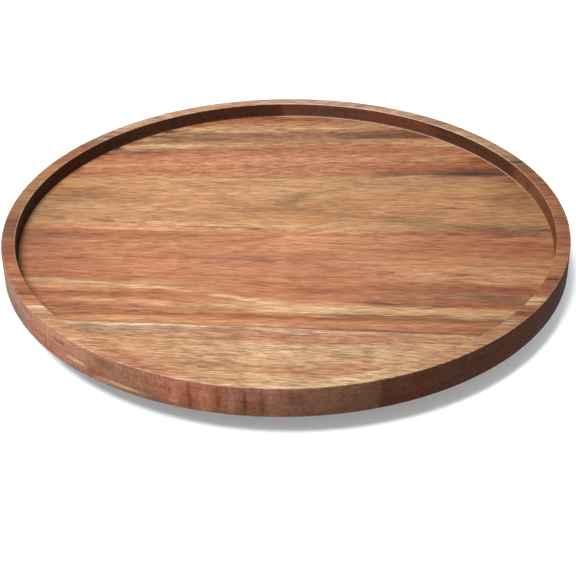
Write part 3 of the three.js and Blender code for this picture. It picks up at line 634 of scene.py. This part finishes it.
def wall_wood(name, stops, tint_and_painted_light, cross_grain, marks=(), fibre=(9.0, 50.0)):
    """An upright wall: blocks of tone around it under an overall tint, with grain bands and streaks; the
    tint is painted light on the outer wall and painted shade on the inner wall.
    """
    g = Graph(name)
    x, y, z = g.split(g.position())
    jitter = g.math("SUBTRACT", g.noise(g.join(x, y, g.math("MULTIPLY", z, 6.0)), 2.0), 0.5)
    degrees = g.bearing(g.position())
    colour = g.ramp(g.math("MULTIPLY_ADD", jitter, 0.3, degrees), stops, 0.0, 360.0)
    lengthwise = g.join(g.math("MULTIPLY", degrees, math.pi / 180), z)
    streak = {
        "broad": g.remap(g.noise(g.stretch(lengthwise, *fibre), 4.0, 0.65), 0.3, 0.7),
        "fibre": g.noise(g.stretch(lengthwise, cross_grain * 0.5, 8.0, 1.0), 3.0, 0.65),
        "fine": g.remap(g.noise(g.stretch(lengthwise, 90.0, 150.0), 3.0, 0.7), 0.3, 0.7),
        "flecks": g.remap(g.noise(g.stretch(lengthwise, 60.0, 60.0), 3.0, 0.75), 0.3, 0.7),
        "hair": g.remap(g.noise(g.stretch(lengthwise, 300.0, 260.0), 2.0), 0.3, 0.7),
        "pores": g.remap(g.noise(g.stretch(lengthwise, 170.0, 170.0), 1.0), 0.62, 0.7),
        "blotch": g.remap(g.noise(g.stretch(lengthwise, 9.0, 9.0), 2.0), 0.25, 0.75),
        "ripple": g.remap(g.noise(g.stretch(lengthwise, 70.0, 8.0), 2.0), 0.3, 0.7),
    }
    middle = (TRAY_BOTTOM + TRAY_TOP) / 2 / RADIUS
    unrolled = g.join(degrees, g.math("SUBTRACT", z, middle))
    for mark in marks:
        colour = g.stroke(colour, unrolled, *mark, fray=g.math("SUBTRACT", streak["fibre"], 0.5))
    # The overall tint: painted light on the outer wall, painted shade on the inner wall, a plain tint on the
    # base.
    colour = tinted(g, 1.0, colour, tint_and_painted_light)
    g.set(Base_Color=shade_by_grain(g, colour, streak, 0.5))
    oil_finish(g, streak)
    g.shader.inputs["Specular IOR Level"].default_value = 0.12
    return g.material


# ---------------------------------------------------------------- metal, nylon and rubber


def zinc_plate():
    """Zinc plating over rolled sheet: fine rolling lines and slow clouds."""
    g = Graph("zinc_plate")
    place = g.position()
    rolled = g.noise(g.stretch(place, 3.0, 220.0, 3.0), 3.0)
    cloud = g.noise(g.stretch(place, 9.0, 9.0, 9.0), 3.0)
    colour = g.mix(g.remap(cloud, 0.3, 0.7), (0.5, 0.52, 0.55, 1), (0.62, 0.62, 0.6, 1))
    g.set(Base_Color=colour, Roughness=g.remap(rolled, 0.3, 0.7, 0.28, 0.42))
    g.shader.inputs["Metallic"].default_value = 1.0
    bump = g.node("Bump", {"Height": rolled, "Strength": 0.15, "Distance": 0.05 * MM})
    g.set(Normal=bump.outputs[0])
    return g.material


def plain_finish(name, dark, light, rough, metallic, grain_size, relief):
    """A finish with a fine even texture: colour, gloss and relief all vary with it."""
    g = Graph(name)
    speck = g.noise(g.stretch(g.position(), grain_size, grain_size, grain_size), 3.0)
    g.set(Base_Color=g.mix(g.remap(speck, 0.3, 0.7), dark + (1,), light + (1,)))
    g.set(Roughness=g.remap(speck, 0.3, 0.7, rough[0], rough[1]))
    g.shader.inputs["Metallic"].default_value = metallic
    bump = g.node("Bump", {"Height": speck, "Strength": 0.3, "Distance": relief})
    g.set(Normal=bump.outputs[0])
    return g.material


# Dark and light colour, smoothest and roughest gloss, metallic, speck frequency and relief.
FINISHES = {
    "screw_steel": ((0.5, 0.47, 0.4), (0.66, 0.63, 0.56), (0.25, 0.4), 1.0, 60, 0.03 * MM),
    "ball_steel": ((0.7, 0.7, 0.72), (0.78, 0.78, 0.8), (0.06, 0.12), 1.0, 90, 0.004 * MM),
    "cage_nylon": ((0.5, 0.485, 0.45), (0.58, 0.565, 0.53), (0.42, 0.55), 0.0, 120, 0.05 * MM),
    "foot_rubber": ((0.012,) * 3, (0.025,) * 3, (0.7, 0.85), 0.0, 200, 0.08 * MM),
}


# ---------------------------------------------------------------- the tray


def revolve(profile, segments):
    """A bmesh turned about Z from (radius, height, material) points; ends on the axis close to one point."""
    made = bmesh.new()
    turn = [2 * math.pi * i / segments for i in range(segments)]
    rings = []
    for radius, height, _ in profile:
        if radius < 1e-9:
            rings.append([made.verts.new((0, 0, height))])
        else:
            around = [(radius * math.cos(a), radius * math.sin(a), height) for a in turn]
            rings.append([made.verts.new(point) for point in around])
    for step, (lower, upper) in enumerate(zip(rings, rings[1:])):
        for i in range(segments):
            j = (i + 1) % segments
            near = [lower[i % len(lower)], lower[j % len(lower)]]
            far = [upper[j % len(upper)], upper[i % len(upper)]]
            face = made.faces.new(list(dict.fromkeys(near + far)))
            face.smooth = True
            face.material_index = profile[step][2]
    return made


def rounded(corner, before, after, size, steps, material):
    """Points of a round of a given size on a corner of a (radius, height) outline."""
    corner, before, after = Vector(corner), Vector(before), Vector(after)
    start = corner + (before - corner).normalized() * size
    end = corner + (after - corner).normalized() * size
    points = []
    for i in range(steps + 1):
        t = i / steps
        spot = start * (1 - t) ** 2 + corner * 2 * t * (1 - t) + end * t ** 2
        points.append((spot.x, spot.y, material))
    return points


# Material slots of a tray board, how finely the tray is turned, and the rounds on its edges.
FACE, OUTER, INNER = 0, 1, 2
TRAY_SEGMENTS = 360
EDGE_ROUND, LIP_ROUND, HEEL_ROUND = 0.5 * MM, 0.4 * MM, 0.7 * MM


def tray_outline():
    """Half the tray's section, from the middle of its underside round the rim to the middle of its floor."""
    inner = RADIUS - RIM_WIDTH
    corners = {
        "foot": (RADIUS, TRAY_BOTTOM),
        "crest": (RADIUS, TRAY_TOP),
        "lip": (inner, TRAY_TOP),
        "heel": (inner, RECESS_FLOOR),
    }
    start, end = (0, TRAY_BOTTOM), (0, RECESS_FLOOR)
    outline = [(0, TRAY_BOTTOM, FACE)]
    outline += rounded(corners["foot"], start, corners["crest"], EDGE_ROUND, 3, OUTER)
    outline += rounded(corners["crest"], corners["foot"], corners["lip"], EDGE_ROUND, 4, FACE)
    outline += rounded(corners["lip"], corners["crest"], corners["heel"], LIP_ROUND, 4, FACE)
    outline[-1] = outline[-1][:2] + (INNER,)
    outline += rounded(corners["heel"], corners["lip"], end, HEEL_ROUND, 4, INNER)
    outline[-1] = outline[-1][:2] + (FACE,)
    outline.append((0, RECESS_FLOOR, FACE))
    return outline


# The glue lines: where each crosses x = 0, in metres, and its slope in degrees.
GLUE_LINES = [(66.2 * MM, 0.0), (-0.4 * MM, -2.8), (-92.7 * MM, -4.9)]


def cut_along(made, line, keep_back):
    """Cuts away one side of a glue line and closes the cut."""
    crossing, slope = line
    slope = math.radians(slope)
    to_back = Vector((-math.sin(slope), math.cos(slope), 0))
    whole = made.verts[:] + made.edges[:] + made.faces[:]
    cut = bmesh.ops.bisect_plane(
        made, geom=whole, plane_co=(0, crossing, 0), plane_no=to_back,
        clear_inner=keep_back, clear_outer=not keep_back,
    )
    rim = [e for e in cut["geom_cut"] if isinstance(e, bmesh.types.BMEdge)]
    closed = bmesh.ops.edgenet_fill(made, edges=rim)
    for face in closed["faces"]:
        face.smooth = False
        face.material_index = FACE


def add_piece(name, made, materials, body, slot, *nodes):
    """Makes an object of a bmesh, riding on a body, with its materials, in place of CAD nodes; the slot
    argument is not used.
    """
    mesh = bpy.data.meshes.new(name)
    bmesh.ops.recalc_face_normals(made, faces=made.faces[:])
    made.to_mesh(mesh)
    made.free()
    mesh.set_sharp_from_angle(angle=math.radians(35))
    for material in materials:
        mesh.materials.append(material)
    obj = bpy.data.objects.new(name, mesh)
    bpy.context.scene.collection.objects.link(obj)
    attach(obj, body)
    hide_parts(*nodes)
    return obj


def tray():
    """The four boards, each cut from the same turned shape along its glue lines."""
    outer = wall_wood("acacia_outer_wall", OUTER_WALL, OUTER_PAINTED_LIGHT, 70.0, OUTER_MARKS)
    inner = wall_wood("acacia_inner_wall", INNER_WALL, INNER_PAINTED_SHADE, 50.0, fibre=(4.0, 70.0))
    for i, (node, slot) in enumerate(zip(STAVES, BOARDS)):
        made = revolve(tray_outline(), TRAY_SEGMENTS)
        if i > 0:
            cut_along(made, GLUE_LINES[i - 1], False)
        if i < len(GLUE_LINES):
            cut_along(made, GLUE_LINES[i], True)
        add_piece("board_" + slot, made, [board_wood(slot), outer, inner], "tray", slot, node)


# ---------------------------------------------------------------- base, feet and bearing


def circle(made, centre, radius, height, segments):
    """A closed loop of points and edges in a level plane."""
    turn = [2 * math.pi * i / segments for i in range(segments)]
    around = [(centre[0] + radius * math.cos(a), centre[1] + radius * math.sin(a), height) for a in turn]
    points = [made.verts.new(point) for point in around]
    edges = [made.edges.new((points[i - 1], points[i])) for i in range(segments)]
    return points, edges


def tube(made, centre, profile, segments):
    """Walls through a run of (radius, height) points about a centre; gives back the first and last edges."""
    loops = [circle(made, centre, radius, height, segments) for radius, height in profile]
    for (lower, _), (upper, _) in zip(loops, loops[1:]):
        for i in range(segments):
            made.faces.new((lower[i - 1], lower[i], upper[i], upper[i - 1])).smooth = True
    return loops[0][1], loops[-1][1]


def outline_points(*corners):
    """The (radius, height) points of several rounds, one after the other."""
    return [point[:2] for corner in corners for point in corner]


# The base disc: the round on its edges, its screwdriver hole and the pockets for the feet.
BASE_ROUND = 1.2 * MM
HOLE_CENTRE, HOLE_RADIUS, HOLE_BEVEL = (44 * MM, 44 * MM), 10 * MM, 0.4 * MM
POCKET_RADIUS = 8.3 * MM


def base_disc(wood, wall):
    """A round board with eased edges, a hole for the screwdriver and a pocket for each foot."""
    low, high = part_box("base_disc")
    radius, foot_height = high.x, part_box("rubber_foot_01")[1].z
    made = bmesh.new()
    edge = outline_points(
        rounded((radius, low.z), (0, low.z), (radius, high.z), BASE_ROUND, 4, 0),
        rounded((radius, high.z), (radius, low.z), (0, high.z), BASE_ROUND, 4, 0),
    )
    under, over = tube(made, (0, 0), edge, 192)
    hole = [
        (HOLE_RADIUS + HOLE_BEVEL, low.z), (HOLE_RADIUS, low.z + HOLE_BEVEL),
        (HOLE_RADIUS, high.z - HOLE_BEVEL), (HOLE_RADIUS + HOLE_BEVEL, high.z),
    ]
    below, above = tube(made, HOLE_CENTRE, hole, 64)
    under, over = under + below, over + above
    for n in range(1, FOOT_COUNT + 1):
        first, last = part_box(f"rubber_foot_0{n}")
        pocket = [(POCKET_RADIUS, low.z), (POCKET_RADIUS, foot_height)]
        mouth, roof = tube(made, ((first.x + last.x) / 2, (first.y + last.y) / 2), pocket, 48)
        under = under + mouth
        bmesh.ops.triangle_fill(made, edges=roof, use_beauty=True)
    bmesh.ops.triangle_fill(made, edges=under, use_beauty=True)
    bmesh.ops.triangle_fill(made, edges=over, use_beauty=True)
    for face in made.faces:
        middle = face.calc_center_median()
        upright = abs(face.normal.z) < 0.7 and math.hypot(middle.x, middle.y) > radius - BASE_ROUND
        face.material_index = 1 if upright else 0
    add_piece("base_board", made, [wood, wall], "base", "acacia_base", "base_disc")


def feet(rubber):
    """Stick-on feet: a domed flank, a dished sole with a moulded ring, and a flat back."""
    for n in range(1, FOOT_COUNT + 1):
        name = f"rubber_foot_0{n}"
        low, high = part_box(name)
        middle = ((low.x + high.x) / 2, (low.y + high.y) / 2)
        radius = (high.x - low.x) / 2
        # Each point: its share of the foot's radius, and its height in millimetres.
        sole = [(0.0, 0.35), (0.3, 0.35), (0.42, 0.3), (0.5, 0.1), (0.6, 0.0), (0.72, 0.0), (0.8, 0.12)]
        flank = [(0.88, 0.45), (0.95, 0.85), (0.985, 1.15), (1.0, 1.5), (1.0, 2.85), (0.98, 3.0), (0.0, 3.0)]
        profile = [(share * radius, low.z + height * MM, 0) for share, height in sole + flank]
        made = revolve(profile, 64)
        bmesh.ops.translate(made, verts=made.verts, vec=(middle[0], middle[1], 0))
        add_piece(f"foot_{n}", made, [rubber], "base", "foot_rubber", name)


def balls(steel):
    """Polished balls, finely stepped so that they stay round up close."""
    steps = 24
    for n in range(1, BALL_COUNT + 1):
        name = f"bearing_ball_{n:02d}"
        low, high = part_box(name)
        middle = (low + high) / 2
        arc = [math.pi * i / steps - math.pi / 2 for i in range(1, steps)]
        profile = [(BALL_RADIUS * math.cos(a), BALL_RADIUS * math.sin(a), 0) for a in arc]
        profile = [(0.0, -BALL_RADIUS, 0), *profile, (0.0, BALL_RADIUS, 0)]
        made = revolve(profile, 40)
        bmesh.ops.translate(made, verts=made.verts, vec=middle)
        add_piece(f"ball_{n:02d}", made, [steel], f"ball_{n:02d}", "ball_steel", name)


WELD_REACH = 1e-6  # metres; the CAD's faces don't share corners until they are welded


def dress(prefix, material, bevel):
    """Gives CAD nodes their finish, and eases their sharp edges so that these catch the light."""
    for node, obj in frame["nodes"].items():
        if node.startswith(prefix):
            for place in obj.material_slots:
                place.material = material
            obj.modifiers.new("joined corners", "WELD").merge_threshold = WELD_REACH
            ease = obj.modifiers.new("eased edges", "BEVEL")
            ease.width = bevel
            ease.segments = 2
            ease.limit_method = "ANGLE"
            ease.angle_limit = math.radians(40)


def turntable():
    """Everything under the tray."""
    finishes = {name: plain_finish(name, *look) for name, look in FINISHES.items()}
    zinc = zinc_plate()
    dress("bearing_top_plate", zinc, 0.12 * MM)
    dress("bearing_bottom_plate", zinc, 0.12 * MM)
    dress("top_plate_screw", finishes["screw_steel"], 0.1 * MM)
    dress("bottom_plate_screw", finishes["screw_steel"], 0.1 * MM)
    dress("ball_cage", finishes["cage_nylon"], 0.15 * MM)
    balls(finishes["ball_steel"])
    feet(finishes["foot_rubber"])
    base_disc(board_wood("acacia_base"), wall_wood("acacia_base_wall", BASE_WALL, BASE_TINT, 60.0))


# ---------------------------------------------------------------- the studio

ROOM_LIGHT = 0.3
KEY_POWER, KEY_SIZE = 13.6, 0.35
KEY_PLACE, KEY_AIM = (-0.33, -0.25, 0.62), (0, 0, 0.02)

# The table's own suns: name, strength, spread in degrees, where it comes from, and whether it casts shadows.
TABLE_SUNS = [
    ("table_key", 2.6, 10, (-0.29, -0.58, 1.0), True),
    ("table_sky", 1.1, 100, (-0.2, -0.4, 1.0), True),
    ("table_fill", 0.7, 0.526, (0, 0, 1.0), False),
]
TABLE_HALF_SIZE = 30
BACKDROP_RADIUS, BACKDROP_HEIGHTS = 5.0, (-0.1, 6.0)


def light_object(data, place, towards):
    """Puts a light in the scene at a place, facing another."""
    light = bpy.data.objects.new(data.name, data)
    bpy.context.scene.collection.objects.link(light)
    light.location = place
    light.rotation_mode = "QUATERNION"
    light.rotation_quaternion = (Vector(towards) - Vector(place)).to_track_quat("-Z", "Y")
    return light


def light_only(light, obj, wanted):
    """Lets a light reach only one object, or everything but that object."""
    group = bpy.data.collections.new(light.name + "_reach")
    group.objects.link(obj)
    group.collection_objects[0].light_linking.link_state = "INCLUDE" if wanted else "EXCLUDE"
    light.light_linking.receiver_collection = group


def table():
    """A wide pale table, which the tray doesn't pick up any light or reflection from."""
    made = bmesh.new()
    bmesh.ops.create_grid(made, x_segments=8, y_segments=8, size=TABLE_HALF_SIZE)
    mesh = bpy.data.meshes.new("table")
    made.to_mesh(mesh)
    made.free()
    g = Graph("pale_table")
    speck = g.noise(g.stretch(g.position(), 6.0, 6.0, 6.0), 2.0)
    g.set(Base_Color=g.mix(speck, (0.85, 0.885, 0.91, 1), (0.87, 0.905, 0.93, 1)), Roughness=0.9)
    mesh.materials.append(g.material)
    obj = bpy.data.objects.new("table", mesh)
    bpy.context.scene.collection.objects.link(obj)
    obj.visible_diffuse = False
    obj.visible_glossy = False
    return obj


def backdrop():
    """A white wall all round the table, for views from close to the table's height."""
    made = bmesh.new()
    tube(made, (0, 0), [(BACKDROP_RADIUS, height) for height in BACKDROP_HEIGHTS], 96)
    mesh = bpy.data.meshes.new("backdrop")
    made.to_mesh(mesh)
    made.free()
    g = Graph("backdrop")
    g.set(Base_Color=(0, 0, 0, 1), Emission_Color=(1, 1, 1, 1), Emission_Strength=1.0)
    mesh.materials.append(g.material)
    obj = bpy.data.objects.new("backdrop", mesh)
    bpy.context.scene.collection.objects.link(obj)
    for ray in ("diffuse", "glossy", "transmission", "shadow"):
        setattr(obj, "visible_" + ray, False)


def studio():
    """A white room, one soft key from the front left, and the table lit so that it stays white."""
    world = bpy.data.worlds.new("studio")
    world.use_nodes = True
    world.node_tree.nodes["Background"].inputs["Color"].default_value = (1, 1, 1, 1)
    world.node_tree.nodes["Background"].inputs["Strength"].default_value = ROOM_LIGHT
    bpy.context.scene.world = world
    ground = table()
    backdrop()

    key = bpy.data.lights.new("key", "AREA")
    key.shape = "SQUARE"
    key.size = KEY_SIZE
    key.energy = KEY_POWER
    light_only(light_object(key, KEY_PLACE, KEY_AIM), ground, False)

    for name, strength, spread, place, shadow in TABLE_SUNS:
        sun = bpy.data.lights.new(name, "SUN")
        sun.energy = strength
        sun.angle = math.radians(spread)
        sun.use_shadow = shadow
        light_only(light_object(sun, place, (0, 0, 0)), ground, True)
    bpy.context.scene.view_settings.view_transform = "Standard"


# The camera: its angles in degrees, lens in millimetres, and aim and distance in tray radii.
CAMERA_ELEVATION, CAMERA_ROLL, CAMERA_LENS = 32.87, -0.658, 86.67
CAMERA_AIM, CAMERA_DISTANCE = (0.0055, -0.4527), 4.557


def camera():
    """A long lens from the front, 33 degrees above, tilted a fraction of a degree."""
    elevation, roll = math.radians(CAMERA_ELEVATION), math.radians(CAMERA_ROLL)
    aim = Vector((CAMERA_AIM[0] * RADIUS, CAMERA_AIM[1] * RADIUS, TRAY_TOP))
    forward = Vector((0, math.cos(elevation), -math.sin(elevation)))
    right = Vector((1, 0, 0))
    up = right.cross(forward)
    right, up = right * math.cos(roll) + up * math.sin(roll), up * math.cos(roll) - right * math.sin(roll)
    data = bpy.data.cameras.new("camera")
    data.sensor_width = 36
    data.lens = CAMERA_LENS
    cam = bpy.data.objects.new("camera", data)
    bpy.context.scene.collection.objects.link(cam)
    axes = Matrix((right, up, -forward)).transposed().to_4x4()
    cam.matrix_world = Matrix.Translation(aim - forward * CAMERA_DISTANCE * RADIUS) @ axes
    bpy.context.scene.camera = cam


tray()
turntable()
studio()
camera()
